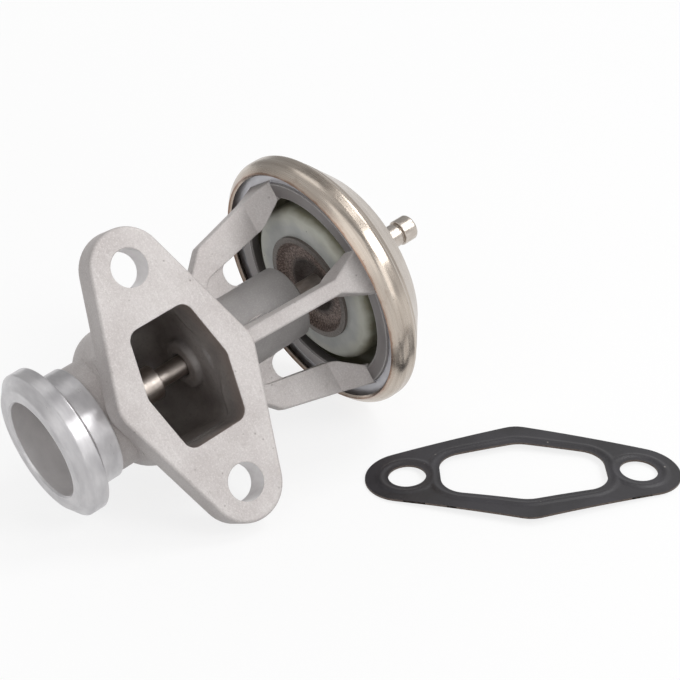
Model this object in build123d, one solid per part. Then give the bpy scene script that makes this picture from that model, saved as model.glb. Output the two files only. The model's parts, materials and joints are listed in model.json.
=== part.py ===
from build123d import *
from math import atan, cos, degrees, hypot, pi, sin, sqrt, tan
import os

# A vacuum-operated exhaust gas recirculation valve with its loose flange gasket, in millimetres.
# Each piece of the valve is drawn in the valve's own axes: X runs along the stem from the collar to
# the vacuum nozzle, -Y points out of the flange face, and Z runs from the lower flange hole to the
# upper one. The whole valve is then laid on the table on the three points that it rests on.

# ---- flange ----
bolt_spacing = 55.0
bolt_hole_radius = 4.5
bolt_lobe_radius = 9.4
flange_face_distance = 21.9        # stem axis to flange face
flange_thickness = 7.0
flange_waist_half_width = 18.6
flange_waist_round = 8.0
flange_edge_round = 0.7
port_half_height = 14.9            # six-sided gas port
port_half_width = 11.1
port_end_half_width = 8.0
port_corner_round = 3.0
port_depth = 10.0

# ---- gas chamber behind the flange ----
chamber_radius = 14.6
chamber_left = -11.0
chamber_right = 10.4
chamber_round = 4.0
chamber_wall = 3.0
body_round = 8.0

# ---- V-band collar and outlet neck ----
collar_face = -31.5                # X of the collar's front face
collar_bore_radius = 12.2
collar_bore_depth = 9.1
collar_face_radius = 15.6
collar_cone_length = 2.2
collar_rim_radius = 18.4
collar_rim_width = 3.6
collar_groove_depth = 4.2
collar_groove_run = 1.5
collar_land_length = 5.4
collar_round = 0.5
neck_radius = 13.55

# ---- valve seat and poppet ----
seat_outer_radius = 11.0
seat_shoulder = 3.0                # length of the neck wall that the seat's spigot passes
seat_spigot_radius = 10.2
seat_throat_radius = 8.6
seat_length = 8.0
seat_chamfer = 1.0
seat_gap = 0.2                     # the closed disc is drawn this far off its seat
disc_radius = 10.0
disc_rim = 1.0
disc_boss_length = 1.4
hub_radius = 4.3
hub_end = 0.9
stem_radius = 2.5
stem_head_radius = 4.2
stem_head_length = 1.2
stem_end_radius = 2.0              # turned down for the plates and the nut

# ---- stem guide ----
guide_boss_radius = 6.2
guide_boss_length = 1.7
guide_hole_radius = 3.0
guide_lip = 1.5
guide_bore_radius = 4.5
guide_tube_radius = 9.3
guide_tube_draft = 0.2
guide_tube_end = 41.0
guide_tube_chamfer = 0.4
stem_clearance = 0.05              # radial, stem in bushes
lower_bush_length = 10.0
packing_length = 6.0
packing_washer_thickness = 0.8
cap_radius = 6.5
cap_depth = 3.0
cap_lip = 0.8

# ---- legs and ring ----
leg_count = 4
leg_width = 3.7
leg_slope = 0.25
leg_heel = 26.0                    # X of the outer corner where the foot turns inwards
leg_outer_radius = 22.1            # at the heel
leg_heel_round = 2.0
leg_inner_radius = 15.4            # at slot_end
leg_inner_slope = 0.215
leg_foot_thickness = 3.9
leg_flare_start = 42.0
leg_flare_half_width = 5.6
leg_flare_run = 4.6
leg_edge_round = 0.6
leg_foot_length = 4.0              # toe of the foot ahead of slot_end
leg_toe_round = 2.0
leg_throat_run = 1.5               # inner side turns outwards this far behind leg_flare_start
leg_throat_round = 5.0
root_overlap = 0.4                 # how deep legs and webs run into the body
ring_overlap = 1.0                 # how deep legs run into the ring
web_thickness = 2.5
web_inset = 1.5                    # web's outer end inside the leg
slot_end = 28.9
slot_edge_gap = 0.05
ring_face = 49.0
ring_bore_radius = 24.0
ring_step_radius = 28.0
ring_step = 0.7
ring_step_chamfer = 0.35
ring_outer_radius = 32.0
ring_back = 51.6
ring_chamfer = 0.4

# ---- diaphragm can ----
can_wall = 0.9
can_clearance = 0.55               # radial, between the ring and the can's bead
can_lip_overlap = 1.0              # how far the lip reaches in over the ring
can_lip_stand = 1.5                # lip's edge ahead of the ring's face
can_lip_length = 2.2               # along X, up to where its slope would meet the bead's crest
can_bead_round = 3.0
can_bead_end_round = 1.5
can_bead_drop_length = 0.8         # along X, from the bead's crest down to the valley
can_valley_depth = 1.55
can_valley_round = 0.6
can_valley_gap = 1.2               # valley's outside behind the clamp ring
can_shoulder_drop = 0.5
can_shoulder_length = 1.0
can_shoulder_round = 1.5
can_cone_drop = 6.5
can_cone_length = 6.2
can_cone_round = 3.0
can_crown_drop = 7.1
can_crown_length = 4.0
can_crown_round = 3.0

# ---- vacuum nozzle ----
nozzle_radius = 3.2                # where it leaves the can
nozzle_taper = 0.3                 # off the radius by the groove
nozzle_tip_radius = 3.3
nozzle_bore_radius = 1.4
nozzle_tip = 77.5
nozzle_end = 81.8
nozzle_groove = 0.5
nozzle_groove_radius = 2.6
nozzle_tip_round = 0.9
nozzle_edge_round = 0.25
nozzle_flange_radius = 5.0
nozzle_flange_thickness = 1.0

# ---- diaphragm and its plates ----
plate_wall = 0.8
plate_radius = 13.8
plate_rim_radius = 12.3
plate_rim_face = 48.0
plate_dish = 1.4                   # rim down to the annulus
plate_annulus_inner_radius = 7.0
plate_hub_radius = 5.6
plate_hub_depth = 1.6              # annulus down to the hub face
diaphragm_wall = 0.8
diaphragm_cup_round = 2.6
diaphragm_roll_top = 58.2
diaphragm_roll_width = 5.7         # from the cup's wall to the roll's outer leg
diaphragm_rim_width = 4.9          # clamped flat, outside the roll
diaphragm_rim_gap = 0.5            # radial, inside the ring's outer edge
clamp_ring_thickness = 0.8
clamp_ring_width = 3.0
cup_wall = 1.0
cup_height = 55.0
washer_radius = 5.0
washer_thickness = 0.8
nut_across_flats = 7.0
nut_height = 2.4
stem_tail = 0.6                    # stem past the nut

# ---- return spring ----
spring_wire_radius = 0.9
spring_side_gap = 4.9              # radial, from the wire's middle to the diaphragm's cup
spring_turns = 3.2
spring_seat_ledge = 0.6            # the seat reaches this far past the wire's middle
spring_seat_width = 7.3
spring_seat_lip_inset = 1.4        # radial, from the wire's middle in to the locating lip
spring_seat_lip = 2.0
spring_seat_wall = 0.8
spring_gap = 0.1                   # wire to each seat

# ---- flange gasket ----
gasket_thickness = 0.5
gasket_bow_radius = 456.0          # the loose sheet lies slightly arched along its length
gasket_lobe_radius = 10.0
gasket_waist_half_width = 19.4
gasket_waist_round = 7.0
gasket_port_half_length = 19.7
gasket_port_half_width = 12.3
gasket_port_end_half_width = 7.2
gasket_port_end_round = 6.2
gasket_port_waist_round = 8.0
gasket_bead_width = 1.6
gasket_bead_height = 0.3
gasket_bead_margin = 1.2
gasket_ahead = 63.56               # along X from the stem's crossing with the flange holes' line
gasket_aside = 60.0                # towards the viewer
gasket_turn = -38.0                # degrees

# ---- worked out from the sizes above ----
diaphragm_rim_radius = ring_outer_radius - diaphragm_rim_gap
diaphragm_roll_radius = diaphragm_rim_radius - diaphragm_rim_width
diaphragm_cup_radius = diaphragm_roll_radius - diaphragm_roll_width
spring_mean_radius = diaphragm_cup_radius - spring_side_gap
spring_seat_outer_radius = spring_mean_radius + spring_seat_ledge
spring_seat_inner_radius = spring_seat_outer_radius - spring_seat_width
spring_seat_lip_radius = spring_mean_radius - spring_seat_lip_inset
can_lip_face = ring_face - can_lip_stand
can_lip_radius = ring_outer_radius - can_lip_overlap
can_bead_start = can_lip_face + can_lip_length
can_bead_radius = ring_outer_radius + can_clearance + can_wall
can_valley = ring_back + diaphragm_wall + clamp_ring_thickness + can_valley_gap
can_valley_radius = can_bead_radius - can_valley_depth
can_shoulder = can_valley + can_shoulder_length
can_shoulder_radius = can_valley_radius - can_shoulder_drop
can_cone_end = can_shoulder + can_cone_length
can_cone_end_radius = can_shoulder_radius - can_cone_drop
can_crown = can_cone_end + can_crown_length
can_crown_radius = can_cone_end_radius - can_crown_drop


# ---------------------------------------------------------------- profile helpers
def moved_right(path, distance):
    """The (x, r, round) path moved to its right by a sheet's thickness, with mitred corners."""
    normals = []
    for (x0, r0, _), (x1, r1, _) in zip(path, path[1:]):
        length = hypot(x1 - x0, r1 - r0)
        normals.append(((r1 - r0) / length, -(x1 - x0) / length))
    moved = []
    for index, (x, r, round_radius) in enumerate(path):
        before = normals[max(index - 1, 0)]
        after = normals[min(index, len(normals) - 1)]
        reach = distance / (1 + before[0] * after[0] + before[1] * after[1])
        turns_left = before[0] * after[1] - before[1] * after[0] > 0
        new_round = round_radius + distance if turns_left else round_radius - distance
        new_round = max(new_round, 0) if round_radius else 0
        moved.append((x + (before[0] + after[0]) * reach, r + (before[1] + after[1]) * reach, new_round))
    return moved


def outline(corners):
    """A closed face from (x, y) or (x, y, round) corners."""
    points = [corner[:2] for corner in corners]
    rounds = [corner[2] if len(corner) > 2 else 0 for corner in corners]
    return make_face(FilletPolyline(*points, radius=rounds, close=True))


def turned(*corners):
    """A solid of revolution about the stem axis from (x, r) or (x, r, round) corners."""
    return revolve(outline(corners), axis=Axis.X)


def pressed(path, thickness):
    """A pressed sheet of revolution: the path is one side, the other lies to its right."""
    return turned(*path, *reversed(moved_right(path, thickness)))


def mirrored_corners(quarter):
    """All corners of a figure that is symmetric about both axes, from those of one quarter."""
    upper = quarter + [(-x, y, r) for x, y, r in reversed(quarter) if x > 0]
    return upper + [(x, -y, r) for x, y, r in reversed(upper) if y > 0]


# ---------------------------------------------------------------- housing casting
def two_bolt_outline(lobe_radius, waist_half_width, waist_round):
    """Straight-sided outline round the two bolt holes and a rounded waist, holes along Y."""
    lobes = [Pos(0, side * bolt_spacing / 2) * Circle(lobe_radius) for side in (-1, 1)]
    waist_centre = waist_half_width - waist_round
    waists = [Pos(side * waist_centre, 0) * Circle(waist_round) for side in (-1, 1)]
    return make_hull([edge for end in lobes + waists for edge in end.edges()])


def flange_plate():
    back = Plane.XZ.offset(flange_face_distance - flange_thickness)
    outline_face = two_bolt_outline(bolt_lobe_radius, flange_waist_half_width, flange_waist_round)
    plate = extrude(back * outline_face, flange_thickness)
    front_edges = plate.faces().sort_by(Axis.Y)[0].edges()
    return fillet(front_edges, flange_edge_round)


def barrel(radius, left, right, depth, end_round):
    """A D-shaped barrel about the stem axis: flat sides run forward to the given depth."""
    section = Circle(radius) + Pos(-depth / 2, 0) * Rectangle(depth, 2 * radius)
    solid = extrude(Plane.YZ.offset(left) * section, right - left)
    ends = solid.faces().filter_by(Axis.X)
    end_edges = [edge for end in ends for edge in end.edges() if edge.center().Y > 0.01 - depth]
    return fillet(end_edges, end_round)


def gas_port():
    corners = mirrored_corners([
        (port_half_width, 0, port_corner_round),
        (port_end_half_width, port_half_height, port_corner_round),
    ])
    return extrude(Plane.XZ.offset(flange_face_distance - port_depth) * outline(corners), port_depth)


def leg_outer(x):
    return leg_outer_radius + leg_slope * (x - leg_heel)


def leg_inner(x):
    return leg_inner_radius + leg_inner_slope * (x - slot_end)


def leg_root():
    return chamber_right + chamber_wall - root_overlap


def leg_profile(joins_flange):
    """One leg in the radial plane, as (x, r) corners, running from the foot to the ring."""
    root = leg_root()
    heel = leg_outer(leg_heel)
    foot_radius = heel - (leg_heel - root)
    foot_drop = leg_foot_thickness * sqrt(2)
    toe_x = slot_end - leg_foot_length
    toe = leg_inner(toe_x)
    outer_start = [(root, foot_radius), (leg_heel, heel, leg_heel_round)]
    if joins_flange:
        outer_start = [(root, leg_outer(root))]
    deep = ring_face + ring_overlap
    ring_end = leg_inner(leg_flare_start) + leg_flare_run
    return outer_start + [
        (deep, leg_outer(deep)), (deep, ring_end), (ring_face, ring_end),
        (leg_flare_start + leg_throat_run, leg_inner(leg_flare_start), leg_throat_round),
        (toe_x, toe, leg_toe_round), (toe_x - (toe - foot_radius + foot_drop), foot_radius - foot_drop),
        (root, foot_radius - foot_drop),
    ]


def leg(joins_flange):
    face = Plane.XZ * outline(leg_profile(joins_flange))
    bar = extrude(face, leg_width / 2, both=True)
    wide = extrude(face, leg_flare_half_width, both=True)
    half = leg_width / 2
    deep = ring_face + ring_overlap
    spread = [
        (leg_flare_start, -half), (ring_face, -leg_flare_half_width), (deep, -leg_flare_half_width),
        (deep, leg_flare_half_width), (ring_face, leg_flare_half_width), (leg_flare_start, half),
    ]
    flare = extrude(outline(spread), ring_outer_radius)
    solid = bar + (wide & flare)
    middle = (leg_heel + ring_face) / 2
    outside = [
        edge for edge in solid.edges()
        if abs(edge.center().Z - leg_outer(edge.center().X)) < 0.01 and abs(edge.center().Y) > half / 2
        and edge.length > leg_flare_run and edge.center().X > middle - leg_flare_start / 2
    ]
    return fillet(outside, leg_edge_round)


def leg_web():
    """The plate that fills the corner between body, guide tube and leg, down to a round slot end."""
    root = leg_root()
    tube = guide_tube_radius - root_overlap
    foot_radius = leg_outer(leg_heel) - (leg_heel - root)
    slot_top = leg_inner(slot_end)
    beyond = slot_end + leg_foot_length
    plate = outline([
        (root, tube), (root, foot_radius - web_inset),
        (leg_heel - web_inset, leg_outer(leg_heel) - 2 * web_inset),
        (beyond, slot_top + web_inset), (beyond, tube),
    ])
    slot_round = (slot_top - guide_tube_radius) / 2 - slot_edge_gap
    past = beyond + leg_foot_length
    slot = outline([
        (slot_end, guide_tube_radius, slot_round), (slot_end, slot_top, slot_round),
        (past, leg_inner(past)), (past, guide_tube_radius),
    ])
    return extrude(Plane.XZ * (plate - slot), web_thickness / 2, both=True)


def make_housing():
    rim_start = collar_face + collar_cone_length
    rim_end = rim_start + collar_rim_width
    land_start = rim_end + collar_groove_run
    land_end = land_start + collar_land_length
    land_radius = collar_rim_radius - collar_groove_depth
    collar = turned(
        (collar_face, 0), (collar_face, collar_face_radius, collar_round),
        (rim_start, collar_rim_radius, collar_round), (rim_end, collar_rim_radius, collar_round),
        (land_start, land_radius, collar_round), (land_end, land_radius),
        (land_end, neck_radius), (chamber_left, neck_radius), (chamber_left, 0),
    )
    body_left = chamber_left - chamber_wall
    body_right = chamber_right + chamber_wall
    flange_middle = flange_face_distance - flange_thickness / 2
    body = barrel(chamber_radius + chamber_wall, body_left, body_right, flange_middle, body_round)
    tube = turned(
        (chamber_right, 0), (chamber_right, guide_tube_radius + guide_tube_draft),
        (guide_tube_end - guide_tube_chamfer, guide_tube_radius),
        (guide_tube_end, guide_tube_radius - guide_tube_chamfer), (guide_tube_end, 0),
    )
    ring = turned(
        (ring_face, ring_bore_radius + ring_chamfer), (ring_face, ring_step_radius - ring_step_chamfer),
        (ring_face + ring_step_chamfer, ring_step_radius), (ring_face + ring_step, ring_step_radius),
        (ring_face + ring_step, ring_outer_radius),
        (ring_back, ring_outer_radius), (ring_back, ring_bore_radius),
        (ring_face + ring_chamfer, ring_bore_radius),
    )
    casting = flange_plate() + body + collar + tube + ring
    for index in range(leg_count):
        turn = Rot(X=90 + index * 360 / leg_count)
        casting += turn * leg(joins_flange=index == 0)
        casting += turn * leg_web()
    chamber = barrel(chamber_radius, chamber_left, chamber_right,
                     flange_face_distance - port_depth, chamber_round)
    casting -= chamber + gas_port()
    casting += turned(
        (chamber_right - guide_boss_length, 0), (chamber_right - guide_boss_length, guide_boss_radius, 0.5),
        (chamber_right + chamber_wall, guide_boss_radius), (chamber_right + chamber_wall, 0),
    )
    guide_start = chamber_right - guide_boss_length
    stepped_bore = turned(
        (guide_start, 0), (guide_start, guide_hole_radius), (guide_start + guide_lip, guide_hole_radius),
        (guide_start + guide_lip, guide_bore_radius), (guide_tube_end - cap_depth, guide_bore_radius),
        (guide_tube_end - cap_depth, cap_radius), (guide_tube_end, cap_radius), (guide_tube_end, 0),
    )
    outlet = turned(
        (collar_face, 0), (collar_face, collar_bore_radius + collar_round),
        (collar_face + collar_round, collar_bore_radius),
        (collar_face + collar_bore_depth, collar_bore_radius),
        (collar_face + collar_bore_depth, seat_outer_radius),
        (chamber_left - seat_shoulder, seat_outer_radius),
        (chamber_left - seat_shoulder, seat_spigot_radius), (chamber_left, seat_spigot_radius),
        (chamber_left, 0),
    )
    casting -= stepped_bore + outlet
    hole = Cylinder(bolt_hole_radius, 3 * flange_thickness, rotation=(90, 0, 0))
    for side in (-1, 1):
        casting -= Pos(0, -flange_face_distance, side * bolt_spacing / 2) * hole
    return casting


# ---------------------------------------------------------------- seat, poppet and stem
def seat_end():
    return chamber_left - 0.2


def make_valve_seat():
    shoulder = chamber_left - seat_shoulder
    end = seat_end()
    return turned(
        (end - seat_length, seat_throat_radius + 0.4), (end - seat_length, seat_outer_radius - 0.4, 0.3),
        (end - seat_length + 0.6, seat_outer_radius), (shoulder, seat_outer_radius),
        (shoulder, seat_spigot_radius), (end, seat_spigot_radius),
        (end, seat_throat_radius + seat_chamfer), (end - seat_chamfer, seat_throat_radius),
        (end - seat_length + 0.4, seat_throat_radius),
    )


def disc_front():
    """X of the disc's face on the outlet side."""
    return seat_end() - seat_chamfer


def disc_back():
    return seat_end() + disc_rim + disc_boss_length


def make_valve_disc():
    front = disc_front()
    end = seat_end()
    cone_gap = seat_gap * sqrt(2)
    edge = seat_throat_radius + seat_chamfer - cone_gap
    return turned(
        (front, stem_radius), (front, edge - seat_chamfer), (end, edge), (end + cone_gap, disc_radius),
        (end + disc_rim, disc_radius, 0.3), (disc_back(), hub_radius + 1.2, 0.5),
        (disc_back(), stem_radius),
    )


def make_poppet_hub():
    return turned(
        (disc_back(), stem_radius), (disc_back(), hub_radius), (hub_end, hub_radius, 0.25),
        (hub_end, stem_radius),
    )


def plate_front_path():
    """Front side of the lower plate, from the stem out to its rim."""
    annulus = plate_rim_face + plate_dish
    hub_face = annulus + plate_hub_depth
    return [
        (hub_face, stem_end_radius, 0), (hub_face, plate_hub_radius, 0.5),
        (annulus, plate_annulus_inner_radius, 0.5), (annulus, plate_rim_radius - plate_dish, 0.5),
        (plate_rim_face, plate_rim_radius, 0.3), (plate_rim_face, plate_radius, 0),
    ]


def diaphragm_front_path():
    """Front side of the diaphragm: behind the lower plate, then the cup, the roll and the rim."""
    inner = moved_right(plate_front_path(), plate_wall)[:-1]
    bottom = inner[-1][0]
    roll = (diaphragm_roll_radius - diaphragm_cup_radius) / 2
    return inner + [
        (bottom, diaphragm_cup_radius, diaphragm_cup_round),
        (diaphragm_roll_top, diaphragm_cup_radius, roll * 0.9),
        (diaphragm_roll_top, diaphragm_roll_radius, roll * 0.9),
        (ring_back, diaphragm_roll_radius, 0.4),
        (ring_back, diaphragm_rim_radius, 0),
    ]


def make_lower_plate():
    return pressed(plate_front_path(), plate_wall)


def make_spring_cup():
    """Upper plate: lies behind the diaphragm's middle and stands up inside its cup."""
    behind = moved_right(diaphragm_front_path(), diaphragm_wall)
    path = behind[:6] + [(cup_height, behind[5][1], 0)]
    return pressed(path, cup_wall)


def plates_back():
    """X of the clamped stack's rear face at the stem."""
    return plate_front_path()[0][0] + plate_wall + diaphragm_wall + cup_wall


def make_valve_stem():
    head = disc_front()
    shoulder = plate_front_path()[0][0]
    tail = plates_back() + washer_thickness + nut_height + stem_tail
    return turned(
        (head - stem_head_length, 0), (head - stem_head_length, stem_head_radius - 0.6),
        (head - stem_head_length + 0.6, stem_head_radius), (head, stem_head_radius), (head, stem_radius),
        (shoulder, stem_radius), (shoulder, stem_end_radius), (tail - 0.4, stem_end_radius),
        (tail, stem_end_radius - 0.4), (tail, 0),
    )


# ---------------------------------------------------------------- stem guide pieces
def sleeve(start, length, inner, outer):
    return turned((start, inner), (start, outer), (start + length, outer), (start + length, inner))


def guide_pieces():
    """Bush, packing, washer and bush, one behind the other in the guide bore, then the dust cap."""
    inner = stem_radius + stem_clearance
    start = chamber_right - guide_boss_length + guide_lip
    cap_start = guide_tube_end - cap_depth
    lengths = {
        "lower_bush": lower_bush_length,
        "stem_packing": packing_length,
        "packing_washer": packing_washer_thickness,
    }
    pieces = {}
    for piece, length in lengths.items():
        pieces[piece] = sleeve(start, length, inner, guide_bore_radius)
        start += length
    pieces["upper_bush"] = sleeve(start, cap_start - start, inner, guide_bore_radius)
    pieces["dust_cap"] = turned(
        (cap_start, inner), (cap_start, cap_radius), (guide_tube_end - 0.4, cap_radius),
        (guide_tube_end - 0.4, cap_radius - cap_lip), (cap_start + cap_lip, cap_radius - cap_lip, 0.4),
        (cap_start + cap_lip, inner),
    )
    return pieces


# ---------------------------------------------------------------- diaphragm, can and nozzle
def make_diaphragm():
    return pressed(diaphragm_front_path(), diaphragm_wall)


def make_clamp_ring():
    start = ring_back + diaphragm_wall
    return sleeve(start, clamp_ring_thickness, diaphragm_rim_radius - clamp_ring_width, diaphragm_rim_radius)


def can_path():
    """Outer side of the can, from the rolled lip over the bead, the cone and the crown."""
    return [
        (can_lip_face, can_lip_radius, 0), (can_bead_start, can_bead_radius, can_bead_round),
        (can_valley - can_bead_drop_length, can_bead_radius, can_bead_end_round),
        (can_valley, can_valley_radius, can_valley_round),
        (can_shoulder, can_shoulder_radius, can_shoulder_round),
        (can_cone_end, can_cone_end_radius, can_cone_round),
        (can_crown, can_crown_radius, can_crown_round), (can_crown, nozzle_radius, 0),
    ]


def make_diaphragm_can():
    return pressed(can_path(), can_wall)


def make_vacuum_nozzle():
    inside = can_crown - can_wall
    groove = nozzle_tip - nozzle_groove
    return turned(
        (inside - nozzle_flange_thickness, nozzle_bore_radius),
        (inside - nozzle_flange_thickness, nozzle_flange_radius), (inside, nozzle_flange_radius),
        (inside, nozzle_radius), (can_crown, nozzle_radius),
        (groove, nozzle_radius - nozzle_taper, nozzle_edge_round), (groove, nozzle_groove_radius),
        (nozzle_tip, nozzle_groove_radius), (nozzle_tip, nozzle_tip_radius, nozzle_edge_round),
        (nozzle_end, nozzle_tip_radius, nozzle_tip_round), (nozzle_end, nozzle_bore_radius),
    )


def make_clamp_washer():
    return sleeve(plates_back(), washer_thickness, stem_end_radius, washer_radius)


def make_stem_nut():
    start = plates_back() + washer_thickness
    hexagon = RegularPolygon(nut_across_flats / 2, 6, major_radius=False) - Circle(stem_end_radius)
    return extrude(Plane.YZ.offset(start) * hexagon, nut_height)


def spring_floor():
    """X of the spring cup's floor, outside the lower plate's rim."""
    return plate_rim_face + plate_wall + diaphragm_wall + cup_wall


def spring_ceiling():
    return can_crown - can_wall - spring_seat_wall


def make_return_spring():
    start = spring_floor() + spring_wire_radius + spring_gap
    height = spring_ceiling() - spring_wire_radius - spring_gap - start
    coil = Helix(height / spring_turns, height, spring_mean_radius, center=(start, 0, 0), direction=(1, 0, 0))
    return sweep(Plane(coil @ 0, z_dir=coil % 0) * Circle(spring_wire_radius), path=coil)


def make_spring_seat():
    top = can_crown - can_wall
    under = spring_ceiling()
    bore = spring_seat_lip_radius - spring_seat_wall
    return turned(
        (top, spring_seat_inner_radius), (top, spring_seat_outer_radius),
        (under, spring_seat_outer_radius), (under, spring_seat_lip_radius),
        (under - spring_seat_lip, spring_seat_lip_radius), (under - spring_seat_lip, bore),
        (under, bore, 0.3), (under, spring_seat_inner_radius),
    )


# ---------------------------------------------------------------- gasket
def bowed_strip(low, high):
    """Between two heights above the gasket's arched underside, which stands on its two ends."""
    reach = bolt_spacing / 2 + gasket_lobe_radius
    centre = -sqrt(gasket_bow_radius ** 2 - reach ** 2)
    corners = []
    for radius in (gasket_bow_radius + low, gasket_bow_radius + high):
        rim = centre + sqrt(radius ** 2 - bolt_spacing ** 2)
        corners.append([(-bolt_spacing, rim), (0, centre + radius), (bolt_spacing, rim)])
    under, over = corners
    edges = [ThreePointArc(*under), Line(under[2], over[2]), ThreePointArc(*over), Line(over[0], under[0])]
    return extrude(Plane.XZ * make_face(edges), bolt_spacing / 2, both=True)


def make_flange_gasket():
    """Holes along X, with raised beads round the port and the bolt holes."""
    blank = Rot(Z=90) * two_bolt_outline(gasket_lobe_radius, gasket_waist_half_width, gasket_waist_round)
    port = outline(mirrored_corners([
        (gasket_port_half_length, gasket_port_end_half_width, gasket_port_end_round),
        (0, gasket_port_half_width, gasket_port_waist_round),
    ]))
    openings = [port] + [
        Pos(side * bolt_spacing / 2, 0) * Circle(bolt_hole_radius) for side in (-1, 1)
    ]
    tall = bolt_spacing / 2
    gasket = bowed_strip(0, gasket_thickness) & extrude(blank, tall)
    bead_layer = bowed_strip(gasket_thickness, gasket_thickness + gasket_bead_height)
    for opening in openings:
        inner = offset(opening, gasket_bead_margin)
        bead = offset(inner, gasket_bead_width) - inner
        gasket += bead_layer & extrude(bead, tall)
    for opening in openings:
        gasket -= extrude(opening, tall)
    return gasket


# ---------------------------------------------------------------- how the valve lies
def resting_turn():
    """Pitch and roll, in radians, that put the can's bead, the collar's rim and the lower flange
    lobe on the table together, and how far the stem axis then lies above it."""
    bead_middle_radius = can_bead_radius - can_bead_round
    lip_angle = atan((can_bead_radius - can_lip_radius) / (can_bead_start - can_lip_face))
    bead_middle = can_bead_start + can_bead_round * tan(lip_angle / 2)
    rim_x = collar_face + collar_cone_length
    pitch = 0.0
    for _ in range(20):
        rise = bead_middle_radius - collar_rim_radius + can_bead_round / cos(pitch)
        pitch = atan(rise / (bead_middle - rim_x))
    height = collar_rim_radius * cos(pitch) - rim_x * sin(pitch)
    lobe_back = flange_face_distance - flange_thickness
    low, high = 0.0, pi / 2
    for _ in range(50):
        roll = (low + high) / 2
        along, up = cos(pitch) * sin(roll), cos(pitch) * cos(roll)
        drop = bolt_spacing / 2 * up + bolt_lobe_radius * hypot(sin(pitch), up) - lobe_back * along
        low, high = (roll, high) if drop > height else (low, roll)
    return pitch, roll, height


parts = {
    "housing": make_housing(),
    "valve_seat": make_valve_seat(),
    "valve_disc": make_valve_disc(),
    "poppet_hub": make_poppet_hub(),
    "valve_stem": make_valve_stem(),
    **guide_pieces(),
    "lower_plate": make_lower_plate(),
    "diaphragm": make_diaphragm(),
    "spring_cup": make_spring_cup(),
    "clamp_washer": make_clamp_washer(),
    "stem_nut": make_stem_nut(),
    "return_spring": make_return_spring(),
    "spring_seat": make_spring_seat(),
    "clamp_ring": make_clamp_ring(),
    "diaphragm_can": make_diaphragm_can(),
    "vacuum_nozzle": make_vacuum_nozzle(),
}

pitch, roll, axis_height = resting_turn()
lay_down = Pos(0, 0, axis_height) * Rot(Y=-degrees(pitch)) * Rot(X=-degrees(roll))
placed = {name: lay_down * solid for name, solid in parts.items()}
gasket_place = Pos(gasket_ahead, -gasket_aside, 0) * Rot(Z=gasket_turn)
placed["flange_gasket"] = gasket_place * make_flange_gasket()

box = Compound(list(placed.values())).bounding_box()
to_origin = Pos(-box.center().X, -box.center().Y, 0)

os.makedirs("parts", exist_ok=True)
for name, solid in placed.items():
    export_step(to_origin * solid, f"parts/{name}.step")
print("pitch", round(degrees(pitch), 3), "roll", round(degrees(roll), 3), "axis height", round(axis_height, 3))
print("box", box.min, box.max)
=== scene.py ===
import json
from math import atan2, ceil, cos, hypot, pi, radians, sin, sqrt

import bmesh
import bpy
from mathutils import Matrix, Vector
from mathutils.geometry import delaunay_2d_cdt
from mathutils.kdtree import KDTree


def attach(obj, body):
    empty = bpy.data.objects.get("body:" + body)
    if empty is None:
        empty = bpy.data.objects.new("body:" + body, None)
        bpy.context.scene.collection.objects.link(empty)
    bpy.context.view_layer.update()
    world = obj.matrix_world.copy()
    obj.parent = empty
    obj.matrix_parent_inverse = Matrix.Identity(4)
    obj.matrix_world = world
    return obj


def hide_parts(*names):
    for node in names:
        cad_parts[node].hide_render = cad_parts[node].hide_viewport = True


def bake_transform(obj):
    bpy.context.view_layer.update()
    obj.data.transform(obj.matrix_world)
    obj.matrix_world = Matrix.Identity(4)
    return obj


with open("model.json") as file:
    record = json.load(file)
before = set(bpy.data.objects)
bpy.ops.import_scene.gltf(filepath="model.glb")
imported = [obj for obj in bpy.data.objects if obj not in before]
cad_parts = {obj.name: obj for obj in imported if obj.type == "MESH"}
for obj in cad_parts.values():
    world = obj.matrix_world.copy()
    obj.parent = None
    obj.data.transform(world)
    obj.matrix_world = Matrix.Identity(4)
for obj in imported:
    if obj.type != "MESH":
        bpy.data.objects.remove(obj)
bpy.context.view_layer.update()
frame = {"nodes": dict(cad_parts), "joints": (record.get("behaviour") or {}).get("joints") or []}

# ---------------------------------------------------------------- places, in metres, row frame
MM = 0.001
LIFT = next(joint for joint in frame["joints"] if joint["name"] == "valve_lift")
STEM_AXIS = Vector(LIFT["axis"])
FLANGE_OUT = Vector((-0.0963425, -0.8532685, 0.5124948))
BOLT_AXIS = STEM_AXIS.cross(-FLANGE_OUT)
ORIGIN = Vector((-0.0307069, 0.0267403, 0.0234965))   # stem axis, level with the flange holes
CAMERA_PLACE = Vector((-0.237375, -0.29707, 0.251115))
CAMERA_AIM = Vector((0.0186, 0.01729, 0.02094))
CAMERA_ROLL = radians(0.73)
LENS_MM = 100.5
SENSOR_MM = 36.0

# ---------------------------------------------------------------- the valve's sizes, in millimetres
LAND_END = -18.8                  # along the stem: end of the turned collar
CHAMBER_LEFT = -11.3
CHAMBER_RIGHT = 11.2
CHAMBER_RADIUS = 14.8
PORT_REACH = 15.1                 # the port's ends, up and down the bolt line
COLLAR_BORE = 12.25               # up to the bore's edge break
TOUCH = 0.05                      # how near a face's middle lies to the plane it is on
RING_FACE = 48.9
RING_BORE = 23.9                  # inside the bore's facets
RING_STEP = 27.9
HOLE_HEIGHT = 27.5
HOLE_RADIUS = 4.6
FLANGE_FACE = 21.9
TUBE_START = 17.0
TUBE_RADIUS = 9.5
NECK_RADIUS = 13.55
FLANGE_BACK = 14.9
FLANGE_LOBE = 9.4
FLANGE_WAIST = 18.6
FLANGE_WAIST_ROUND = 8.0
DIAPHRAGM_CREST = 23.75
PLATE_EDGE = 13.5
WELD = 0.001                      # joins the doubled corners of a CAD mesh

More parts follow.
